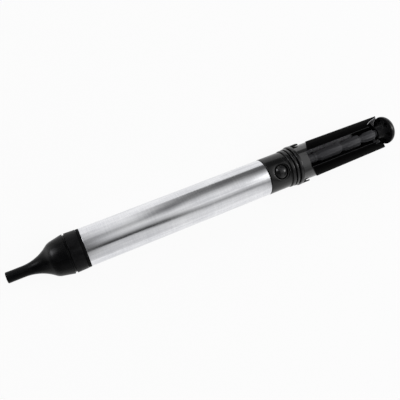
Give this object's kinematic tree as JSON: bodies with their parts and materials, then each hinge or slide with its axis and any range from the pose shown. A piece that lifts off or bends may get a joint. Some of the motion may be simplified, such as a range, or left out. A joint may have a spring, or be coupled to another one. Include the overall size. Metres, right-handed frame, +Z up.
{
  "type": "desoldering pump",
  "caption": "Spring-driven desoldering pump: flared black nozzle, aluminium barrel, domed release button, open guard trough and mushroom-headed plunger.",
  "frame": {"origin": "middle of the bounding box in plan, on the table that the pump lies on", "axes": "+X along the pump from the nozzle to the knob, +Z up through the release button"},
  "size_m": [0.2156, 0.0212, 0.0213],
  "materials": {
    "satin_black": "satin moulded",
    "gloss_black": "polished moulded",
    "matte_black": "fine spark-eroded",
    "grey_plastic": "satin moulded",
    "natural_plastic": "satin moulded",
    "rubber": "matte",
    "aluminium": "brushed and satin anodised",
    "steel": "bright"
  },
  "bodies": {
    "pump_body": {"nozzle": "satin_black", "nozzle_seal": "rubber", "front_cap": "satin_black", "front_gasket": "rubber", "barrel": "aluminium", "spring_seat": "steel", "main_spring": "steel", "stop_bumper": "rubber", "rear_housing": "gloss_black", "housing_o_ring": "rubber", "button_spring": "steel", "lock_ring": "gloss_black", "guard": "matte_black"},
    "plunger": {"cleaning_pin": "steel", "piston": "natural_plastic", "piston_o_ring": "rubber", "piston_washer": "steel", "plunger_rod": "grey_plastic", "knob": "gloss_black"},
    "button": {"release_button": "gloss_black", "latch_plate": "steel"}
  },
  "joints": [
    {"name": "plunger_slide", "type": "slide", "parent": "pump_body", "child": "plunger", "axis": [-1, 0, 0], "range_m": [0, 0.041], "stiffness_N_per_m": 400, "springref_m": -0.02, "deforming": ["main_spring"]},
    {"name": "button_press", "type": "slide", "parent": "pump_body", "child": "button", "axis": [0, 0, -1], "range_m": [0, 0.0016], "stiffness_N_per_m": 500, "springref_m": -0.001, "deforming": ["button_spring"]}
  ]
}
